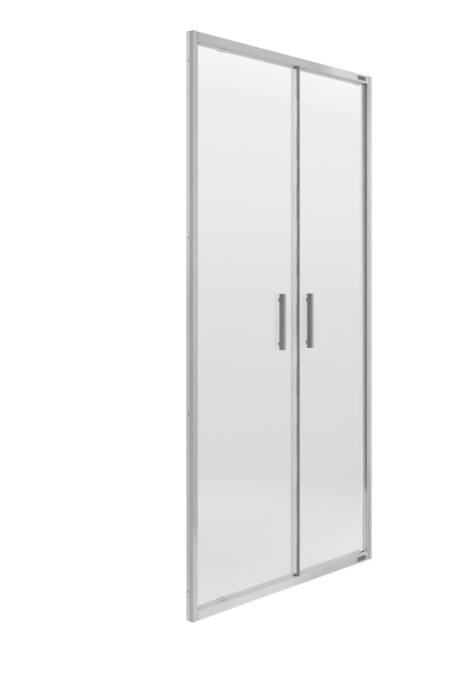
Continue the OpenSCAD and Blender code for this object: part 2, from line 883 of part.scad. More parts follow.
// Sweep seals between the stops given as pairs of X
module sweep_seals(runs) {
  for (r = runs) {
    along_x(r[0], r[1]) sweep_section();
    at_top() along_x(r[0], r[1]) sweep_section();
  }
}

module pivot_sweep_seals() {
  color("gainsboro") sweep_seals([[hinge_x + channel_x1 + seal_end, pivot_x - clamp_l / 2 - seal_end]]);
}

module lead_sweep_seals() {
  color("gainsboro") sweep_seals([
    [lead_x0 + seal_jaw + 4, guide_x - clamp_l / 2 - seal_end],
    [guide_x + clamp_l / 2 + seal_end, hinge_x - channel_x1 - seal_end]
  ]);
}

// Magnet strip on the lead leaf's closing edge, with two jaws on the glass
module lead_magnet_seal() {
  color("gainsboro") along_z(glass_z0 - 4, glass_z1 + 4) {
    rounded([lead_x0 - leaf_magnet_t, glass_y - magnet_w / 2], [lead_x0, glass_y + magnet_w / 2], 0.5);
    rect([lead_x0 - 1, glass_y0 - seal_wall], [lead_x0 + seal_jaw, glass_y0]);
    rect([lead_x0 - 1, glass_y1], [lead_x0 + seal_jaw, glass_y1 + seal_wall]);
  }
}

// Handles, drawn from the glass face at the handle's middle

module handle_bar() {
  half_w = handle_w / 2;
  z0 = handle_z - handle_l / 2 + handle_cap_h;
  z1 = handle_z + handle_l / 2 - handle_cap_h;
  difference() {
    along_z(z0, z1) {
      rounded([-half_w, -handle_d], [half_w, handle_front - handle_d], 1.5);
      rect([-handle_web / 2, -handle_d + 2], [handle_web / 2, -handle_foot + 0.5]);
      rounded([-half_w, -handle_foot], [half_w, 0], 0.5);
    }
    for (dz = [-1, 1] * handle_pitch / 2)
      rod_y([0, -handle_screw_in - 1, handle_z + dz], handle_screw_r + 0.05, handle_screw_in + 1 + cut);
  }
}

module handle_caps() {
  half_w = handle_w / 2;
  for (z = [handle_z - handle_l / 2, handle_z + handle_l / 2 - handle_cap_h])
    along_z(z, z + handle_cap_h) rounded([-half_w, -handle_d], [half_w, 0], 1.5);
}

module handle_roses() {
  for (dz = [-1, 1] * handle_pitch / 2) difference() {
    union() {
      rod_y([0, glass_t, handle_z + dz], rose_r - 1, rose_t);
      rod_y([0, glass_t, handle_z + dz], rose_r, rose_t - 1);
      rod_y([0, 0.2, handle_z + dz], glass_hole_r - 0.2, glass_t);
    }
    translate([0, glass_t + rose_t, handle_z + dz])
      rotate([90, 0, 0]) countersink(handle_screw_r, glass_t + rose_t + cut);
  }
}

module handle_screws() {
  for (dz = [-1, 1] * handle_pitch / 2)
    translate([0, glass_t + rose_t, handle_z + dz]) rotate([90, 0, 0])
      countersunk(handle_screw_r, glass_t + rose_t + handle_screw_in, 1.6);
}

module at_handle(side) {
  translate([handle_x(side), glass_y0, 0]) children();
}

module pivot_handle() {
  color("darkgray") at_handle(1) handle_bar();
}

module lead_handle() {
  color("darkgray") at_handle(-1) handle_bar();
}

module pivot_handle_caps() {
  color("dimgray") at_handle(1) handle_caps();
}

module lead_handle_caps() {
  color("dimgray") at_handle(-1) handle_caps();
}

module pivot_handle_screws() {
  color("lightgray") at_handle(1) handle_screws();
}

module lead_handle_screws() {
  color("lightgray") at_handle(-1) handle_screws();
}

module pivot_handle_roses() {
  color("silver") at_handle(1) handle_roses();
}

module lead_handle_roses() {
  color("silver") at_handle(-1) handle_roses();
}

wall_profile_left();
wall_profile_right();
jamb_left();
jamb_right();
top_rail();
bottom_rail();
end_cap_left();
end_cap_right();
corner_screws();
adjuster_screws();
pivot_block_top();
pivot_block_bottom();
pivot_bush_top();
pivot_bush_bottom();
pivot_block_screws();
pivot_cover_top();
pivot_cover_bottom();
track_stop_top();
track_stop_bottom();
jamb_magnet_seal();
side_seal();
pivot_glass();
pivot_hinge_profile();
hinge_pin();
hinge_washers();
pivot_hinge_cap_top();
pivot_hinge_cap_bottom();
pivot_glazing_gasket();
pivot_clamp_top();
pivot_clamp_bottom();
pivot_pin_top();
pivot_pin_bottom();
pivot_clamp_screws();
pivot_sweep_seals();
pivot_handle();
pivot_handle_caps();
pivot_handle_screws();
pivot_handle_roses();
lead_glass();
lead_hinge_profile();
lead_hinge_cap_top();
lead_hinge_cap_bottom();
lead_glazing_gasket();
hinge_lip_seal();
guide_clamp_top();
guide_clamp_bottom();
guide_axle_top();
guide_axle_bottom();
guide_clamp_screws();
lead_sweep_seals();
lead_magnet_seal();
lead_handle();
lead_handle_caps();
lead_handle_screws();
lead_handle_roses();
guide_wheel_top();
guide_wheel_bottom();
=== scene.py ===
import json
import math

import bmesh
import bpy
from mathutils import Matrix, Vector

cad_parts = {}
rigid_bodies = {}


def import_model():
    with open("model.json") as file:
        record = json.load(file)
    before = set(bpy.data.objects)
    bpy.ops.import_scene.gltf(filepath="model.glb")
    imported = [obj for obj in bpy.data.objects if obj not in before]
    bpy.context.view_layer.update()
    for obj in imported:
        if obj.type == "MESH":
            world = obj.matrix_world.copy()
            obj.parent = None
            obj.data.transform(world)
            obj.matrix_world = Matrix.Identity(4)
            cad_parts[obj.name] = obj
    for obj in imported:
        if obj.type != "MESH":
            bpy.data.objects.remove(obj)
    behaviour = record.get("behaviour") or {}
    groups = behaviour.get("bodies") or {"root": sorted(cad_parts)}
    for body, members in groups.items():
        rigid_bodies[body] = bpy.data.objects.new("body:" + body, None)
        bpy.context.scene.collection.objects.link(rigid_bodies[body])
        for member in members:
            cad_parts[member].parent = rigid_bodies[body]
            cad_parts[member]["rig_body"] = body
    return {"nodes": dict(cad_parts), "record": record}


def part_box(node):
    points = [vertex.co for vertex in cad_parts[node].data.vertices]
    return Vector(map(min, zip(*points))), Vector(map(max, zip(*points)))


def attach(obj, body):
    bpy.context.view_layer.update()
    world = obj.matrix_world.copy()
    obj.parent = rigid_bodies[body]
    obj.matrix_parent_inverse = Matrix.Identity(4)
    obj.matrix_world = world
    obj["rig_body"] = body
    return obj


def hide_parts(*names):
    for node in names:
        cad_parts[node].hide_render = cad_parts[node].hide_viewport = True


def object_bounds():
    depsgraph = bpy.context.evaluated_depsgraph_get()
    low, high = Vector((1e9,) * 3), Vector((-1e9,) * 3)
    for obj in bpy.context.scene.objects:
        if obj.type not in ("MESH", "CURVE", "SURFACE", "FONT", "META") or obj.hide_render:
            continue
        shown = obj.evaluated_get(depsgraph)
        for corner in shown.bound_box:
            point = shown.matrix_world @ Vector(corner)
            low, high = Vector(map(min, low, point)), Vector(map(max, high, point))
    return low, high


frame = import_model()
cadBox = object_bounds()
nodes = frame["nodes"]
bodyOf = {name: node["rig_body"] for name, node in nodes.items()}
slotOf = {part["node"]: part["material_slot"] for part in frame["record"]["subparts"]}
mm = 0.001
overHeight = ("Z", 0, 1.95)  # an axis with the start and end of the door on it, in metres
overWidth = ("X", -0.5, 0.5)


# Camera, floor and light

view = {
    "place": (-2.617, -2.245, 1.126),
    "heading": 44.66,  # degrees from +X towards +Y
    "lens": 49.08,
    "sensor": 36,
    "shift": (0.0118, -0.0905),
}
studio = {
    "floorSize": 60.0,
    "floorTone": 0.86,
    "floorGlow": 0.42,  # only for what the camera, metal and glass see
    "floorNear": 1.0,  # the floor shows its shading up to here,
    "floorFar": 2.2,  # and is plain white from here on
    "worldForLight": 0.70,
    "white": 1,
    "lamps": {  # place, aim, size, power, and whether metal mirrors it
        "key": ((-2.4, -3.4, 3.3), (0, 0, 0.9), 2.4, 30, True),
        "fill": ((3.2, -2.6, 1.8), (0, 0, 1.0), 2.2, 10, False),
        "back": ((0.6, 3.2, 3.0), (0, 0, 1.1), 2.2, 18, True),
    },
}


def grey(level):
    return (level, level, level, 1)


def placed(name, data):  # a new object in the scene
    thing = bpy.data.objects.new(name, data)
    bpy.context.scene.collection.objects.link(thing)
    return thing


def newNode(tree, kind, inputs={}, **settings):  # an input takes a value, or a socket that feeds it
    node = tree.nodes.new(kind)
    for setting, value in settings.items():
        setattr(node, setting, value)
    for key, value in inputs.items():
        if isinstance(value, bpy.types.NodeSocket):
            tree.links.new(value, node.inputs[key])
        else:
            node.inputs[key].default_value = value
    return node


def makeCamera():
    data = bpy.data.cameras.new("camera")
    data.lens, data.sensor_width = view["lens"], view["sensor"]
    data.shift_x, data.shift_y = view["shift"]
    camera = placed("camera", data)
    camera.location = view["place"]
    camera.rotation_euler = (math.radians(90), 0, math.radians(view["heading"] - 90))
    bpy.context.scene.camera = camera


def seenRays(tree):  # gives 1 for camera, glossy and transmission rays
    path = newNode(tree, "ShaderNodeLightPath")
    seen = path.outputs["Is Camera Ray"]
    for name in ("Is Glossy Ray", "Is Transmission Ray"):
        most = newNode(tree, "ShaderNodeMath", {0: seen, 1: path.outputs[name]}, operation="MAXIMUM")
        seen = most.outputs[0]
    return seen


def makeWorld():
    world = bpy.data.worlds.new("studioWorld")
    bpy.context.scene.world = world
    world.use_nodes = True
    tree = world.node_tree
    tree.nodes.clear()
    light = newNode(tree, "ShaderNodeBackground", {"Strength": studio["worldForLight"], "Color": grey(1)})
    shown = newNode(tree, "ShaderNodeBackground", {"Strength": studio["white"], "Color": grey(1)})
    mix = newNode(tree, "ShaderNodeMixShader", {0: seenRays(tree), 1: light.outputs[0], 2: shown.outputs[0]})
    newNode(tree, "ShaderNodeOutputWorld", {0: mix.outputs[0]})


def makeFloor():
    half = studio["floorSize"] / 2
    mesh = bpy.data.meshes.new("floor")
    corners = [(-half, -half, 0), (half, -half, 0), (half, half, 0), (-half, half, 0)]
    mesh.from_pydata(corners, [], [(0, 1, 2, 3)])
    floor = placed("floor", mesh)
    material = bpy.data.materials.new("paleFloor")
    material.use_nodes = True
    tree = material.node_tree
    tree.nodes.clear()
    seen = seenRays(tree)
    diffuse = newNode(tree, "ShaderNodeBsdfDiffuse", {"Color": grey(studio["floorTone"])})
    level = newNode(tree, "ShaderNodeMath", {0: seen, 1: studio["floorGlow"]}, operation="MULTIPLY")
    glow = newNode(tree, "ShaderNodeEmission", {"Strength": level.outputs[0]})
    near = newNode(tree, "ShaderNodeAddShader", {0: diffuse.outputs[0], 1: glow.outputs[0]})
    far = newNode(tree, "ShaderNodeEmission", {"Strength": studio["white"], "Color": grey(1)})
    place = newNode(tree, "ShaderNodeTexCoord").outputs["Object"]
    away = newNode(tree, "ShaderNodeVectorMath", {0: place}, operation="LENGTH").outputs["Value"]
    ends = {"From Min": studio["floorNear"], "From Max": studio["floorFar"]}
    fade = newNode(tree, "ShaderNodeMapRange", {"Value": away, **ends}, interpolation_type="SMOOTHSTEP")
    share = newNode(tree, "ShaderNodeMath", {0: fade.outputs["Result"], 1: seen}, operation="MULTIPLY")
    mix = newNode(tree, "ShaderNodeMixShader", {0: share.outputs[0], 1: near.outputs[0], 2: far.outputs[0]})
    newNode(tree, "ShaderNodeOutputMaterial", {0: mix.outputs[0]})
    mesh.materials.append(material)


def makeLamps():
    for name, (place, aim, size, power, mirrored) in studio["lamps"].items():
        data = bpy.data.lights.new(name, "AREA")
        data.shape, data.size, data.energy = "SQUARE", size, power
        lamp = placed(name, data)
        lamp.location = place
        lamp.rotation_euler = (Vector(aim) - Vector(place)).to_track_quat("-Z", "Y").to_euler()
        lamp.visible_glossy = mirrored
        lamp.visible_transmission = False  # no lamp's outline shows through the panes


bpy.context.scene.view_settings.view_transform = "Standard"
makeCamera()
makeWorld()
makeFloor()
makeLamps()
print("stage done")


# Metal, plastic and gasket finishes

finishes = {  # two tones of each, how metallic it is, and its roughness from and to
    "frameMetal": {"tones": (0.90, 0.84), "metal": 0.6, "rough": (0.30, 0.44)},
    # painted light: the rails' faces into the opening, paler than the frame's metal
    "railReturnPaintedLight": {"tones": (0.85, 0.80), "metal": 0.1, "rough": (0.40, 0.52)},
    # painted reflection: the pivot jamb's inner face, dark in front of the side seal and pale behind it
    "jambShade": {"tones": (0.95, 0.90), "metal": 0.8, "rough": (0.24, 0.36)},
    "jambRest": {"tones": (0.95, 0.91), "metal": 1.0, "rough": (0.16, 0.26)},
    # painted shade: the sealant relief, darker in its recess than the frame's metal
    "reliefPaintedShade": {"tones": (0.43, 0.38), "metal": 0.6, "rough": (0.36, 0.50)},
    "hingeMetal": {"tones": (0.99, 0.95), "metal": 0.15, "rough": (0.28, 0.40)},
    "knuckleMetal": {"tones": (0.50, 0.44), "metal": 0.8, "rough": (0.28, 0.42)},
    "handleMetal": {"tones": (0.69, 0.62), "metal": 0.8, "rough": (0.22, 0.36)},
    # painted shade: the handle's sides, much darker than its front
    "handleSideShade": {"tones": (0.30, 0.27), "metal": 0.6, "rough": (0.26, 0.40)},
    "handleFoot": {"tones": (0.68, 0.62), "metal": 0.5, "rough": (0.24, 0.38)},
    "roseMetal": {"tones": (0.97, 0.95), "metal": 1.0, "rough": (0.06, 0.12)},
    "shoeMetal": {"tones": (0.78, 0.73), "metal": 0.1, "rough": (0.28, 0.40)},
    "polishedChrome": {"tones": (0.62, 0.58), "metal": 1.0, "rough": (0.05, 0.13)},
    "turnedSteel": {"tones": (0.48, 0.42), "metal": 1.0, "rough": (0.22, 0.38)},
    "brightScrew": {"tones": (0.96, 0.92), "metal": 0.1, "rough": (0.22, 0.38)},
    "finPlastic": {"tones": (0.74, 0.69), "metal": 0.0, "rough": (0.35, 0.50)},
    "blackPlastic": {"tones": (0.07, 0.05), "metal": 0.0, "rough": (0.38, 0.52)},
    "coverPlastic": {"tones": (0.17, 0.15), "metal": 0.0, "rough": (0.38, 0.52)},
    "capPlastic": {"tones": (0.26, 0.23), "metal": 0.0, "rough": (0.30, 0.42)},
    "greyPlastic": {"tones": (0.18, 0.15), "metal": 0.0, "rough": (0.40, 0.55)},
    "silverPlastic": {"tones": (0.50, 0.45), "metal": 0.0, "rough": (0.28, 0.40)},
    "whiteNylon": {"tones": (0.78, 0.71), "metal": 0.0, "rough": (0.35, 0.50)},
    "greyGasket": {"tones": (0.94, 0.90), "metal": 0.0, "rough": (0.50, 0.70)},
}
grains = {  # the pattern's scale along X, Y and Z, and how deep it is
    "up": ((700, 700, 6), 0.05),
    "across": ((6, 700, 700), 0.05),
    "even": ((900, 900, 900), 0.08),
    "smooth": ((60, 60, 60), 0.0),
}
patterns = {
    "fineDetail": 2.0,  # of the grain
    "broadDetail": 4.0,  # of the slow change between the two tones
    "broadScale": (7, 7, 3),
    "rough": 0.55,
    "ends": (0.3, 0.7),  # the pattern's values at the first and the second tone
    "fineShare": 0.6,  # how much of the roughness's change follows each pattern
    "broadShare": 0.4,
    "bumpHeight": 0.0005,  # metres
}
slotFinish = {  # the finish of a slot, and its grain unless that follows the piece
    "frame_aluminium": ("frameMetal", None),
    "hinge_aluminium": ("hingeMetal", None),
    "bright_chrome": ("polishedChrome", "smooth"),
    "handle_metal": ("handleMetal", None),
    "handle_cap_metal": ("handleMetal", "even"),
    "grey_gasket": ("greyGasket", "even"),
    "black_plastic": ("blackPlastic", "even"),
    "grey_plastic": ("greyPlastic", "even"),
    "silver_plastic": ("silverPlastic", "even"),
    "white_nylon": ("whiteNylon", "even"),
    "stainless_steel": ("turnedSteel", "even"),
}
directions = {"X": (1, 0, 0), "Z": (0, 0, 1)}
madeFinishes = {}


def newMaterial(name):  # with its tree, its shader and the piece's own coordinates
    material = bpy.data.materials.new(name)
    material.use_nodes = True
    tree = material.node_tree
    coordinates = newNode(tree, "ShaderNodeTexCoord").outputs["Object"]
    return material, tree, tree.nodes["Principled BSDF"], coordinates


def noise(tree, coordinates, scale, detail, rough=patterns["rough"]):
    mapping = newNode(tree, "ShaderNodeMapping", {"Vector": coordinates, "Scale": scale})
    pattern = newNode(tree, "ShaderNodeTexNoise", {
        "Vector": mapping.outputs[0], "Scale": 1, "Detail": detail, "Roughness": rough,
    })
    return pattern.outputs["Fac"]


def spread(tree, value, low, high, ends=patterns["ends"]):  # low to high as the value goes between its ends
    fit = newNode(tree, "ShaderNodeMapRange", {
        "Value": value, "From Min": ends[0], "From Max": ends[1], "To Min": low, "To Max": high,
    })
    return fit.outputs["Result"]


def ramp(tree, value, stops):  # stops are pairs of a place from 0 to 1 and a grey level
    node = newNode(tree, "ShaderNodeValToRGB", {"Fac": value})
    elements = node.color_ramp.elements
    while len(elements) > 1:
        elements.remove(elements[-1])
    elements[0].position, elements[0].color = stops[0][0], grey(stops[0][1])
    for place, level in stops[1:]:
        elements.new(place).color = grey(level)
    return node.outputs["Color"]


def along(tree, coordinates, axis, start, end):  # 0 at start and 1 at end of an axis or a direction
    towards = directions.get(axis, axis)
    dot = newNode(tree, "ShaderNodeVectorMath", {0: coordinates, 1: towards}, operation="DOT_PRODUCT")
    return spread(tree, dot.outputs["Value"], 0, 1, (start, end))


def times(tree, first, second):
    sockets = {"Factor": 1, "A": first, "B": second}
    return newNode(tree, "ShaderNodeMix", sockets, data_type="RGBA", blend_type="MULTIPLY").outputs["Result"]


def finish(name, grain="even", paintedShading=None):  # paintedShading is painted light and shade: an axis, its start and end, and a ramp's stops
    key = f"{name}.{grain}" + (f".{paintedShading[0]}{len(madeFinishes)}" if paintedShading else "")
    if key in madeFinishes:
        return madeFinishes[key]
    look = finishes[name]
    scale, depth = grains[grain]
    material, tree, shader, coordinates = newMaterial(key)
    fine = noise(tree, coordinates, scale, patterns["fineDetail"])
    broad = noise(tree, coordinates, patterns["broadScale"], patterns["broadDetail"])
    colour = ramp(tree, broad, list(zip(patterns["ends"], look["tones"])))
    if paintedShading:
        # painted light and shade: the base colour is multiplied by a ramp along the axis
        colour = times(tree, colour, ramp(tree, along(tree, coordinates, *paintedShading[:3]), paintedShading[3]))
    tree.links.new(colour, shader.inputs["Base Color"])
    slow = spread(tree, broad, 0, patterns["broadShare"], (0, 1))
    parts = {0: fine, 1: patterns["fineShare"], 2: slow}
    both = newNode(tree, "ShaderNodeMath", parts, operation="MULTIPLY_ADD")
    tree.links.new(spread(tree, both.outputs[0], *look["rough"]), shader.inputs["Roughness"])
    shader.inputs["Metallic"].default_value = look["metal"]
    if depth:
        bump = newNode(tree, "ShaderNodeBump", {
            "Strength": depth, "Distance": patterns["bumpHeight"], "Height": fine,
        })
        tree.links.new(bump.outputs[0], shader.inputs["Normal"])
    madeFinishes[key] = material
    return material


# Glass and clear plastic

glassLook = {
    "passes": 0.88,  # the share of the lamps' light that a pane lets through
    "refraction": 1.5,
    "tintAndPaintedReflection": ((0.04, 0.70), (0.08, 0.66), (0.14, 0.64), (0.20, 0.672), (0.25, 0.688), (0.50, 0.725),
             (0.60, 0.765), (0.73, 0.81), (0.90, 0.84), (1.0, 0.93)),  # the glass's grey tint and a painted reflection, a ramp over the height that grows lighter towards the top
    "rough": (0.0, 0.012),
    "marks": ((11, 11, 7), 5.0, 0.6),  # scale, detail and roughness of the pattern
}
filmLook = {
    "rough": (0.22, 0.40),
    "marks": ((60, 60, 9), 4.0, 0.6),
    "fade": 0.06,  # how much darker the marks are
}
films = {  # the share that shows, and the tone
    "clearSeal": (0.30, 0.97),
    "clearJaw": (0.02, 0.97),
    "sideLip": (0.12, 0.97),
    "glassEdge": (0.95, 0.97),
    "paneSide": (0.40, 0.80),
}
markEnds = (0.35, 0.75)  # the pattern's values at the lowest and the highest roughness


def makeGlass():
    material, tree, shader, coordinates = newMaterial("clearGlass")
    shader.inputs["Transmission Weight"].default_value = 1
    shader.inputs["IOR"].default_value = glassLook["refraction"]
    marks = noise(tree, coordinates, *glassLook["marks"])
    tree.links.new(spread(tree, marks, *glassLook["rough"], markEnds), shader.inputs["Roughness"])
    # painted reflection: the glass's tint grows lighter towards the top
    tintAndPaintedReflection = ramp(tree, along(tree, coordinates, *overHeight), glassLook["tintAndPaintedReflection"])
    tree.links.new(tintAndPaintedReflection, shader.inputs["Base Color"])
    lamp = newNode(tree, "ShaderNodeLightPath").outputs["Is Shadow Ray"]
    through = newNode(tree, "ShaderNodeBsdfTransparent", {"Color": grey(glassLook["passes"])})
    mix = newNode(tree, "ShaderNodeMixShader", {0: lamp, 1: shader.outputs[0], 2: through.outputs[0]})
    tree.links.new(mix.outputs[0], tree.nodes["Material Output"].inputs["Surface"])
    return material


def makeFilm(name):  # thin clear plastic
    share, tone = films[name]
    material, tree, shader, coordinates = newMaterial(name)
    marks = noise(tree, coordinates, *filmLook["marks"])
    tree.links.new(spread(tree, marks, *filmLook["rough"], markEnds), shader.inputs["Roughness"])
    tones = list(zip(patterns["ends"], (tone, tone - filmLook["fade"])))
    tree.links.new(ramp(tree, marks, tones), shader.inputs["Base Color"])
    shader.inputs["Alpha"].default_value = share
    return material


clearGlass = makeGlass()
madeFilms = {name: makeFilm(name) for name in films}


def materialOf(name):  # what a node's slot gives it, with a metal's grain along the piece
    if slotOf[name] == "clear_glass":
        return clearGlass
    if slotOf[name] == "clear_seal":
        return madeFilms["clearSeal"]
    metal, grain = slotFinish[slotOf[name]]
    low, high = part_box(name)
    return finish(metal, grain or ("across" if high.x - low.x > high.z - low.z else "up"))


for name, node in nodes.items():
    node.data.materials.clear()
    node.data.materials.append(materialOf(name))
print("finishes done")


# Pieces dressed from the CAD solids: merged, with softened edges and true normals

softEdges = {  # softening in millimetres, and how many faces round it
    "frame_aluminium": (0.25, 2),
    "hinge_aluminium": (0.2, 2),
    "bright_chrome": (0.5, 3),
    "handle_metal": (0.4, 3),
    "handle_cap_metal": (0.7, 3),
    "clear_glass": (0.5, 2),
    "clear_seal": (0.15, 1),
    "grey_gasket": (0.12, 1),
    "black_plastic": (0.4, 2),
    "grey_plastic": (0.5, 3),
    "silver_plastic": (0.5, 3),
    "white_nylon": (0.25, 2),
    "stainless_steel": (0.25, 2),
}
dressing = {
    "joinWithin": 0.01,  # points this near, in millimetres, become one
    "flatWithin": 1,  # faces within this many degrees become one
    "softFrom": 35,  # edges that turn by more than this many degrees are softened,
    "shortest": 2.5,  # unless they are shorter than this many times the softening
    "sharpFrom": 50,  # edges that turn by more than this many degrees are shaded sharp
    "turnedSharpFrom": 40,  # the same for turned parts
    "flatArea": 5.0,  # from this many square millimetres a face takes its own direction
    "flatTurn": 25,  # where a corner's normal is more than this many degrees off
}


def merged(name):  # a CAD solid's mesh with its points joined and its flat faces whole
    work = bmesh.new()
    work.from_mesh(nodes[name].data)
    bmesh.ops.remove_doubles(work, verts=work.verts, dist=dressing["joinWithin"] * mm)
    limit = math.radians(dressing["flatWithin"])
    bmesh.ops.dissolve_limit(work, angle_limit=limit, verts=work.verts, edges=work.edges)
    return work


def soften(work, width, faces):
    angle, length = math.radians(dressing["softFrom"]), dressing["shortest"] * width * mm
    sharp = [e for e in work.edges
             if len(e.link_faces) == 2 and e.calc_face_angle() > angle and e.calc_length() > length]
    bmesh.ops.bevel(work, geom=sharp, offset=width * mm, segments=faces, profile=0.5, affect="EDGES",
                    clamp_overlap=False)


def cutAt(work, place, direction):  # new edges where a plane meets the faces
    everything = [*work.verts, *work.edges, *work.faces]
    bmesh.ops.bisect_plane(work, geom=everything, dist=1e-6, plane_co=place, plane_no=direction)


def meshFrom(work, name, sharpFrom):
    mesh = bpy.data.meshes.new(name)
    work.to_mesh(mesh)
    work.free()
    mesh.shade_smooth()
    mesh.set_sharp_from_angle(angle=math.radians(sharpFrom))
    return mesh


def settle(piece):  # the modifiers' result becomes the piece's own mesh
    graph = bpy.context.evaluated_depsgraph_get()
    mesh = bpy.data.meshes.new_from_object(piece.evaluated_get(graph), depsgraph=graph)
    piece.modifiers.clear()
    piece.data = mesh


def flatten(mesh):  # a wide face takes its own direction where a corner's normal turns away from it
    area, turn = dressing["flatArea"] * mm * mm, math.radians(dressing["flatTurn"])
    normals = [corner.vector.copy() for corner in mesh.corner_normals]
    for face in mesh.polygons:
        if face.area > area:
            for i in face.loop_indices:
                if normals[i].angle(face.normal, 0) > turn:
                    normals[i] = face.normal.copy()
    mesh.normals_split_custom_set(normals)


def rides(piece, body, replaced=()):
    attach(piece, body)
    if replaced:
        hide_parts(*replaced)


def dressed(name, materials=None, prepare=None, paint=None):  # a piece that replaces one CAD node
    work = merged(name)
    if prepare:
        prepare(work)
    soften(work, *softEdges[slotOf[name]])
    if paint:
        for face in work.faces:
            face.material_index = paint(face)
    mesh = meshFrom(work, f"{name}_dressed", dressing["sharpFrom"])
    for material in materials or [materialOf(name)]:
        mesh.materials.append(material)
    piece = placed(f"{name}_dressed", mesh)
    weigh = piece.modifiers.new("weigh", "WEIGHTED_NORMAL")
    weigh.keep_sharp = True
    settle(piece)
    flatten(piece.data)
    rides(piece, bodyOf[name], (name,))


# Frame: rails, jambs and wall profiles

frameLook = {
    "facing": 0.9,  # a face looks along an axis from this share of its normal on
    "reliefReach": 0.9,  # how far in from the wall side the sealant relief lies, in millimetres
    "sideReach": 0.2,  # how far in the wall side itself counts
    "innerReach": 0.3,  # how far from the pivot jamb's inner face its finish counts
    # painted reflections: ramps over the height that lighten and darken the left wall profile, both sides
    # against the walls, the closing jamb, and the right wall profile with its jamb
    "left": ((0.05, 0.67), (0.12, 0.65), (0.16, 0.53), (0.25, 0.525), (0.36, 0.585), (0.45, 0.62),
             (0.6, 0.655), (0.76, 0.64), (0.9, 0.61)),
    "side": ((0.03, 0.65), (0.10, 0.56), (0.2, 0.60), (0.36, 0.60), (0.5, 0.64), (0.58, 0.67),
             (0.64, 0.74), (0.76, 0.77), (1.0, 0.76)),
    "jamb": ((0.03, 0.78), (0.11, 0.77), (0.16, 0.61), (0.3, 0.65), (0.45, 0.665), (0.6, 0.635),
             (0.75, 0.65), (0.85, 0.64), (0.97, 0.57)),
    "right": ((0.03, 0.565), (0.10, 0.60), (0.16, 0.62), (0.23, 0.70), (0.5, 0.735), (0.7, 0.775),
              (0.9, 0.785), (0.96, 0.68)),
    # the pivot jamb's inner face is painted dark above the foot, in front of the side seal, as a painted
    # reflection,
    "shade": ((0.03, 0.86), (0.133, 0.80), (0.154, 0.45), (0.25, 0.40), (0.6, 0.37), (0.96, 0.33)),
    # and painted paler behind it, darker towards the top
    "rest": ((0.10, 1.0), (0.50, 0.93), (0.75, 0.80), (0.95, 0.62)),
    # painted reflections: ramps over the width that lighten and darken the rails' fronts
    "top": ((0.05, 0.60), (0.29, 0.63), (0.60, 0.63), (0.65, 0.60), (0.70, 0.67), (0.76, 0.84),
            (0.90, 0.80)),
    "bottom": ((0.05, 0.78), (0.20, 0.83), (0.47, 0.84), (0.55, 0.75), (0.65, 0.67), (0.77, 0.66),
               (0.89, 0.60)),
}


# an upright's finish, with a ramp over the height that paints reflections on it
def upright(metal, ends):
    return finish(metal, "up", (*overHeight, frameLook[ends]))


def dressUprights():
    frameHigh = cadBox[1]
    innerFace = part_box("side_seal")[1].x
    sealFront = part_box("side_seal")[0].y

    def outerSide(face):  # 1 on the sealant relief, painted darker as shade in its recess, and 2 on the rest of the side against the wall
        if abs(face.normal.x) < frameLook["facing"]:
            return 0
        inset = frameHigh.x - abs(face.calc_center_median().x)
        if inset < frameLook["sideReach"] * mm:
            return 2
        return int(inset < frameLook["reliefReach"] * mm)

    def innerSide(face):  # 1 on the inner face in front of the side seal, painted dark as a reflection, and 2 behind it, painted paler
        place = face.calc_center_median()
        if face.normal.x > -frameLook["facing"] or abs(place.x - innerFace) > frameLook["innerReach"] * mm:
            return 0
        return 1 if place.y < sealFront else 2

    for side in ("left", "right"):
        looks = [upright("frameMetal", side), finish("reliefPaintedShade", "up"), upright("frameMetal", "side")]
        dressed(f"wall_profile_{side}", looks, paint=outerSide)
        dressed(f"end_cap_{side}")
    dressed("jamb_left", [upright("frameMetal", "jamb")])
    looks = [upright("frameMetal", "right"), upright("jambShade", "shade"), upright("jambRest", "rest")]
    atSeal = ((0, sealFront, 0), (0, 1, 0))
    dressed("jamb_right", looks, prepare=lambda work: cutAt(work, *atSeal), paint=innerSide)


def dressRails():
    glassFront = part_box("pivot_glass")[0].y
    for end, inward in (("top", -1), ("bottom", 1)):

        def returned(face):  # 1 in front of the glass on what faces into the opening, painted paler as light
            facesIn = face.normal.z * inward > frameLook["facing"]
            return int(facesIn and face.calc_center_median().y < glassFront)

        # painted reflections: a ramp over the width lightens and darkens the rail's front
        front = finish("frameMetal", "across", (*overWidth, frameLook[end]))
        dressed(f"{end}_rail", [front, finish("railReturnPaintedLight", "across")], paint=returned)
        dressed(f"pivot_cover_{end}", [finish("coverPlastic")])
        for name in (f"pivot_block_{end}", f"pivot_bush_{end}", f"track_stop_{end}"):
            dressed(name)


dressUprights()
dressRails()
print("frame done")


# Glass leaves, seals and gaskets

paneLook = {
    "airGap": 0.05,  # space between a pane and what holds it, in millimetres
    "faceFrom": 0.97,  # the large faces and the ends look along Y and Z from these shares on
    "endFrom": 0.7,
}
sealLook = {
    "finGap": 0.15,  # space between the sweep seals' soft fins and the rails, in millimetres
    "finLean": 3.2,  # the front fins lean out over the rails' lips by this much
    "endReach": 3.4,  # how much farther the lead leaf's seals run towards its magnet seal
    "gasketLip": 3.0,  # how far the glazing gaskets' front lips show beyond the channels
    "footOver": 1.0,  # how far the pale foot of a sweep seal reaches over the glass edge
    "jawReach": 0.1,  # what is in front of the glass, up to this far behind its face
    "endNear": 0.2,  # points this near to an end of a sweep seal move with it
    "edgeNear": 0.1,  # and to the edge of a gasket
}


def dressPanes():
    for name in ("pivot_glass", "lead_glass"):
        low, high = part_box(name)

        def shrink(work):
            for vert in work.verts:
                for i in range(3):
                    middle, half = (low[i] + high[i]) / 2, (high[i] - low[i]) / 2
                    vert.co[i] = middle + (vert.co[i] - middle) * (1 - paneLook["airGap"] * mm / half)

        def edges(face):
            if abs(face.normal.y) > paneLook["faceFrom"]:
                return 0
            return 1 if abs(face.normal.z) > paneLook["endFrom"] else 2

        looks = [clearGlass, madeFilms["glassEdge"], madeFilms["paneSide"]]
        dressed(name, looks, prepare=shrink, paint=edges)


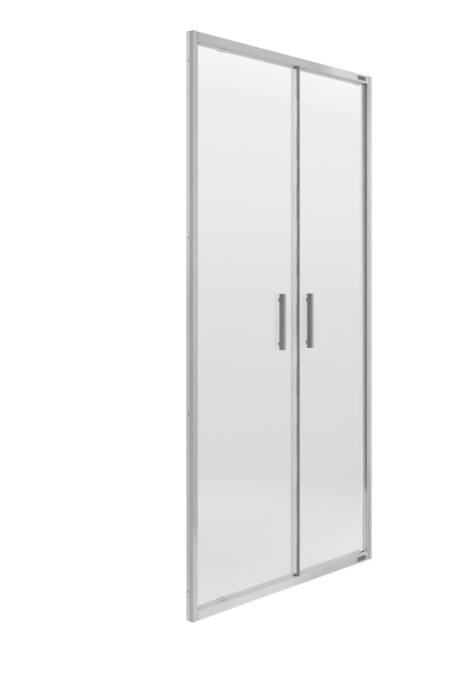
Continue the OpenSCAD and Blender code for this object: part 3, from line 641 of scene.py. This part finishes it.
def dressSeals():
    glassLow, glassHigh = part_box("pivot_glass")
    sealLow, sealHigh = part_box("lead_sweep_seals")
    footLow = glassLow.z + sealLook["footOver"] * mm
    footHigh = glassHigh.z - sealLook["footOver"] * mm
    jawBack = glassLow.y + sealLook["jawReach"] * mm
    ends = ((sealLow.z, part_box("bottom_rail")[1].z, 1), (sealHigh.z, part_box("top_rail")[0].z, -1))

    def reach(work):  # the fins reach almost to the rails, and new edges part the feet from the jaws
        for end, rail, into in ends:
            for vert in work.verts:
                if abs(vert.co.z - end) < sealLook["endNear"] * mm:
                    vert.co.z = rail + into * sealLook["finGap"] * mm
                    if vert.co.y < jawBack:
                        vert.co.y -= sealLook["finLean"] * mm
        for vert in work.verts:
            if abs(vert.co.x - sealLow.x) < sealLook["endNear"] * mm:
                vert.co.x -= sealLook["endReach"] * mm
        cutAt(work, (0, 0, footLow), (0, 0, 1))
        cutAt(work, (0, 0, footHigh), (0, 0, 1))

    def feet(face):  # 1 on the front feet and fins
        place = face.calc_center_median()
        return int(not footLow < place.z < footHigh and place.y < jawBack)

    for name in ("pivot_sweep_seals", "lead_sweep_seals"):
        dressed(name, [madeFilms["clearJaw"], finish("finPlastic")], prepare=reach, paint=feet)
    for name in ("jamb_magnet_seal", "lead_magnet_seal", "hinge_lip_seal"):
        dressed(name)
    dressed("side_seal", [madeFilms["sideLip"]])
    for leaf, end, outward in (("lead", 0, -1), ("pivot", 1, 1)):
        name = f"{leaf}_glazing_gasket"
        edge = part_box(name)[end].x

        def drawOut(work):  # the front lip lies on the glass beyond the channel
            for vert in work.verts:
                if abs(vert.co.x - edge) < sealLook["edgeNear"] * mm and vert.co.y < jawBack:
                    vert.co.x += outward * sealLook["gasketLip"] * mm

        dressed(name, prepare=drawOut)


dressPanes()
dressSeals()
print("leaves done")


# Copies by Geometry Nodes: a row along a line, and one copy on each marked spot

def newTree(name, inputs):
    tree = bpy.data.node_groups.new(name, "GeometryNodeTree")
    tree.interface.new_socket("Geometry", in_out="INPUT", socket_type="NodeSocketGeometry")
    identifiers = {}
    for label, kind in {"Sample": "Object", **inputs, "Material": "Material"}.items():
        socket = tree.interface.new_socket(label, in_out="INPUT", socket_type=f"NodeSocket{kind}")
        identifiers[label] = socket.identifier
    tree.interface.new_socket("Geometry", in_out="OUTPUT", socket_type="NodeSocketGeometry")
    return tree, identifiers, newNode(tree, "NodeGroupInput").outputs


def endTree(tree, given, points, turns={}):  # copies of the sample on the points, made real and painted
    sample = newNode(tree, "GeometryNodeObjectInfo", {"Object": given["Sample"]}).outputs["Geometry"]
    copies = newNode(tree, "GeometryNodeInstanceOnPoints", {"Points": points, "Instance": sample, **turns})
    real = newNode(tree, "GeometryNodeRealizeInstances", {"Geometry": copies.outputs["Instances"]})
    painted = newNode(tree, "GeometryNodeSetMaterial", {
        "Geometry": real.outputs["Geometry"], "Material": given["Material"],
    })
    newNode(tree, "NodeGroupOutput", {0: painted.outputs["Geometry"]})


def rowTree():
    inputs = {"Count": "Int", "First": "Vector", "Step": "Vector"}
    tree, identifiers, given = newTree("copiesInARow", inputs)
    line = newNode(tree, "GeometryNodeMeshLine", {
        "Count": given["Count"], "Start Location": given["First"], "Offset": given["Step"],
    })
    endTree(tree, given, line.outputs["Mesh"])
    return tree, identifiers


def spotTree():
    tree, identifiers, given = newTree("copiesOnSpots", {"Twist": "Float", "Seed": "Int"})
    turn = newNode(tree, "GeometryNodeInputNamedAttribute", {"Name": "turn"}, data_type="FLOAT_VECTOR")
    aim = newNode(tree, "FunctionNodeEulerToRotation", {0: turn.outputs["Attribute"]})
    limits = {3: given["Twist"], "Seed": given["Seed"]}  # socket 3 takes the highest value
    chance = newNode(tree, "FunctionNodeRandomValue", limits, data_type="FLOAT")
    own = newNode(tree, "FunctionNodeAxisAngleToRotation", {"Axis": (0, 0, 1), "Angle": chance.outputs[1]})
    sockets = {"Rotation": aim.outputs[0], "Rotate By": own.outputs[0]}
    both = newNode(tree, "FunctionNodeRotateRotation", sockets, rotation_space="LOCAL")
    endTree(tree, given, given["Geometry"], {"Rotation": both.outputs["Rotation"]})
    return tree, identifiers


trees = {"row": rowTree(), "spots": spotTree()}


def grown(name, kind, inputs, body, replaced=(), start=None):
    tree, identifiers = trees[kind]
    piece = placed(name, start or bpy.data.meshes.new(name))
    grow = piece.modifiers.new("grow", "NODES")
    grow.node_group = tree
    for label, value in inputs.items():
        grow[identifiers[label]] = value
    settle(piece)
    rides(piece, body, replaced)
    bpy.data.objects.remove(inputs["Sample"])


# Turned samples for the copies

turning = {
    "ringSides": 40,
    "screwSides": 24,
    "rounding": 0.3,  # where a ring's two-step chamfer bends, as a share of it
    "key": 0.46,  # radius of a screw's hexagon as a share of the head's,
    "keyFlare": 1.06,  # how much wider it is at its mouth,
    "keyMouth": 0.1,  # how deep the mouth is, in millimetres,
    "keyDepth": 0.6,  # and how deep the hexagon is as a share of the head's height
    "sunkEdge": (0.15, 0.12),  # a countersunk head's chamfer, across and down
    "headEdge": (0.6, 0.2),  # a cylindrical head's rounding, and where it bends
    "tip": (0.5, 0.4),  # the tip's chamfer, along and across
}


def turned(rings, sides):  # rings are height, radius and number of flats (0 is round), in millimetres
    work = bmesh.new()
    loops = []
    for height, radius, flats in rings:
        loop = []
        for i in range(sides):
            angle = 2 * math.pi * i / sides
            reach = radius
            if flats:
                part = 2 * math.pi / flats
                reach = radius * math.cos(part / 2) / math.cos((angle % part) - part / 2)
            corner = (reach * mm * math.cos(angle), reach * mm * math.sin(angle), height * mm)
            loop.append(work.verts.new(corner))
        loops.append(loop)
    for lower, upper in zip(loops, loops[1:]):
        joinLoops(work, lower, upper)
    return work, loops


def joinLoops(work, lower, upper):
    for i in range(len(lower)):
        j = (i + 1) % len(lower)
        work.faces.new((lower[i], lower[j], upper[j], upper[i]))


def sampleFrom(work, name):
    bmesh.ops.recalc_face_normals(work, faces=work.faces)
    return placed(name, meshFrom(work, name, dressing["turnedSharpFrom"]))


def ringSample(name, inner, outer, height, chamfer):  # a sleeve or washer from 0 up Z
    h, c, d = height, chamfer, chamfer * turning["rounding"]
    rings = [(0, inner, 0), (0, outer - c, 0), (d, outer - d, 0), (c, outer, 0),
             (h - c, outer, 0), (h - d, outer - d, 0), (h, outer - c, 0), (h, inner, 0)]
    work, loops = turned(rings, turning["ringSides"])
    joinLoops(work, loops[-1], loops[0])
    return sampleFrom(work, name)


def screwSample(name, head, shank, length, headHeight, countersunk):  # from its head's face at 0 down Z
    key = head * turning["key"]
    rings = [(-headHeight * turning["keyDepth"], key, 6), (-turning["keyMouth"], key, 6),
             (0, key * turning["keyFlare"], 6)]
    if countersunk:
        across, down = turning["sunkEdge"]
        rings += [(0, head - across, 0), (-down, head, 0), (-head + shank, shank, 0)]
    else:
        edge, bend = turning["headEdge"]
        rings += [(0, head - edge, 0), (-bend, head - bend, 0), (-edge, head, 0),
                  (-headHeight, head, 0), (-headHeight, shank, 0)]
    tipAlong, tipAcross = turning["tip"]
    rings += [(-length + tipAlong, shank, 0), (-length, shank - tipAcross, 0)]
    work, loops = turned(rings, turning["screwSides"])
    work.faces.new(loops[0])
    work.faces.new(loops[-1])
    return sampleFrom(work, name)


def islands(name):  # lowest and highest corner of each loose solid of a CAD node
    work = merged(name)
    left = set(work.verts)
    found = []
    while left:
        group, edge = set(), [left.pop()]
        while edge:
            vert = edge.pop()
            group.add(vert)
            for other in (e.other_vert(vert) for e in vert.link_edges):
                if other in left:
                    left.discard(other)
                    edge.append(other)
        found.append([Vector([end(v.co[i] for v in group) for i in range(3)]) for end in (min, max)])
    work.free()
    return sorted(found, key=lambda corners: tuple(round(c, 5) for c in corners[0]))


# Hinge: the two channels, their knuckle sleeves and the washers

hingeLook = {
    "sleeveSkin": 0.12,  # the sleeves stand this much proud of the knuckles, in millimetres
    "sleeveChamfer": 0.7,
    "sleeveGap": 0.1,  # space between a sleeve and the washers
    "boreGap": 0.05,  # space round the pin
    "knuckleReach": 0.2,  # how far beyond the knuckles' radius their finish counts
    "washerChamfer": 0.25,
    "frontAxis": (0.703, -0.711, 0),  # painted shade: the knuckles are painted darker in this direction
    "across": ((0.0, 1.0), (0.3, 0.66), (0.5, 0.37), (0.8, 0.38), (1.0, 0.6)),  # the ramp of painted shade along it
    # the channels' painted light and shade, a ramp over the height
    "height": ((0.03, 1.0), (0.10, 0.96), (0.23, 0.93), (0.45, 0.97), (0.6, 0.97), (0.8, 1.0)),
}


def dressHinge():
    pinLow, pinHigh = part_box("hinge_pin")
    axis = (pinLow + pinHigh) / 2
    washers = islands("hinge_washers")
    size = washers[0][1] - washers[0][0]
    outer, inner = size.x / 2 / mm, (pinHigh.x - pinLow.x) / 2 / mm
    washerHeight = size.z / mm
    bottoms = sorted(washer[0].z for washer in washers)
    step = (bottoms[-1] - bottoms[0]) / (len(bottoms) - 1)
    gap = hingeLook["sleeveGap"] * mm
    sleeveHeight = step / mm - washerHeight - 2 * gap / mm
    firstZ = bottoms[0] - gap - sleeveHeight * mm

    def nearPin(face):
        place = face.calc_center_median()
        limit = (outer + hingeLook["knuckleReach"]) * mm
        return int(math.hypot(place.x - axis.x, place.y - axis.y) < limit)

    reach = (outer + hingeLook["sleeveSkin"]) * mm
    middle = axis.dot(Vector(hingeLook["frontAxis"]))
    # painted shade across the knuckles, over their own dark grey
    paintedShading = (hingeLook["frontAxis"], middle - reach, middle + reach, hingeLook["across"])
    dark = finish("knuckleMetal", "up", paintedShading)
    for leaf in ("pivot", "lead"):
        metal = finish("hingeMetal", "up", (*overHeight, hingeLook["height"]))
        dressed(f"{leaf}_hinge_profile", [metal, dark], paint=nearPin)

    bore = inner + hingeLook["boreGap"]
    knuckles = len(bottoms) + 1
    for leaf, first, count in (("pivot", 0, (knuckles + 1) // 2), ("lead", 1, knuckles // 2)):
        sleeve = ringSample("knuckleSleeve", bore, outer + hingeLook["sleeveSkin"], sleeveHeight,
                            hingeLook["sleeveChamfer"])
        grown(f"{leaf}_leaf_knuckles", "row", {
            "Sample": sleeve, "Count": count, "First": (axis.x, axis.y, firstZ + first * step),
            "Step": (0, 0, 2 * step), "Material": dark,
        }, f"{leaf}_leaf")
    grown("hinge_washers_turned", "row", {
        "Sample": ringSample("hingeWasher", bore, outer, washerHeight, hingeLook["washerChamfer"]),
        "Count": len(bottoms), "First": (axis.x, axis.y, bottoms[0]), "Step": (0, 0, step),
        "Material": finish("blackPlastic"),
    }, bodyOf["hinge_washers"], ("hinge_washers",))
    dressed("hinge_pin")
    for leaf in ("pivot", "lead"):
        for end in ("top", "bottom"):
            dressed(f"{leaf}_hinge_cap_{end}", [finish("capPlastic")])


dressHinge()
print("hinge done")


# Screws: each set is one piece, with a copy on each place that its CAD solids give

screwSets = {
    # axis of the screws, where their heads face, head height in millimetres, whether they are
    # countersunk, the shank's radius as a share of the head's, and their finish
    "corner_screws": ("x", "outward", 2.0, False, 0.5625, "turnedSteel"),
    "adjuster_screws": ("y", 1, 2.0, True, 0.5, "turnedSteel"),
    "pivot_block_screws": ("y", -1, 2.5, False, 1.0, "turnedSteel"),
    "pivot_clamp_screws": ("y", 1, 1.2, True, 0.5, "turnedSteel"),
    "guide_clamp_screws": ("y", 1, 1.2, True, 0.5, "turnedSteel"),
    "pivot_handle_screws": ("y", 1, 2.5, True, 0.5, "brightScrew"),
    "lead_handle_screws": ("y", 1, 2.5, True, 0.5, "brightScrew"),
}
screwTurns = {
    "twist": 3.1,  # the most that a screw is turned on its own axis, in radians
    "seed": 7,  # of the first set, and one more for each set after it
}


def makeScrews():
    seed = screwTurns["seed"]
    for name, (axis, heads, headHeight, countersunk, shankShare, metal) in screwSets.items():
        solids = islands(name)
        across = "xyz".index(axis)
        size = solids[0][1] - solids[0][0]
        length = size[across] / mm
        head = size.z / 2 / mm
        points, turns = [], []
        for low, high in solids:
            middle = (low + high) / 2
            sign = heads if heads != "outward" else (1 if middle.x > 0 else -1)
            middle[across] = high[across] if sign > 0 else low[across]
            points.append(middle)
            facing = Vector([sign if i == across else 0 for i in range(3)])
            turns.append(facing.to_track_quat("Z", "Y").to_euler())
        mesh = bpy.data.meshes.new(name + "_spots")
        mesh.from_pydata(points, [], [])
        stored = mesh.attributes.new("turn", "FLOAT_VECTOR", "POINT")
        for i, turn in enumerate(turns):
            stored.data[i].vector = turn
        sample = screwSample(name + "_sample", head, head * shankShare, length, headHeight, countersunk)
        grown(name + "_turned", "spots", {
            "Sample": sample, "Twist": screwTurns["twist"], "Seed": seed, "Material": finish(metal),
        }, bodyOf[name], (name,), mesh)
        seed += 1


makeScrews()
print("screws done")


# Handles, clamps, pins and guides

handleLook = {
    "paintedShading": ((0.0, 0.40), (0.30, 0.50), (0.72, 0.85), (1.0, 1.0)),  # painted light and shade across the front face, darker towards its left
    "frontReach": 1.0,  # how deep the front face's finish goes, in millimetres
    "sideFrom": 0.7,  # the sides look along X from this share of the normal on
}


def dressFittings():
    for leaf in ("pivot", "lead"):
        low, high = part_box(f"{leaf}_handle")
        front = finish("handleMetal", "up", ("X", low.x, high.x, handleLook["paintedShading"]))
        frontEnd = low.y + handleLook["frontReach"] * mm

        def tones(face):  # 0 on the front, with painted light and shade, 1 on the sides, painted dark as shade, and 2 on the rest
            if abs(face.normal.x) > handleLook["sideFrom"]:
                return 1
            return 0 if face.calc_center_median().y < frontEnd else 2

        looks = [front, finish("handleSideShade", "up"), finish("handleFoot", "up")]
        for part in ("handle", "handle_caps"):
            dressed(f"{leaf}_{part}", looks, paint=tones)
        dressed(f"{leaf}_handle_roses", [finish("roseMetal")])
    for end in ("top", "bottom"):
        for name in (f"pivot_clamp_{end}", f"guide_clamp_{end}"):
            dressed(name, [finish("shoeMetal", "across")])
        for name in (f"pivot_pin_{end}", f"guide_axle_{end}", f"guide_wheel_{end}"):
            dressed(name)


dressFittings()
print("fittings done")


print("visual model done")
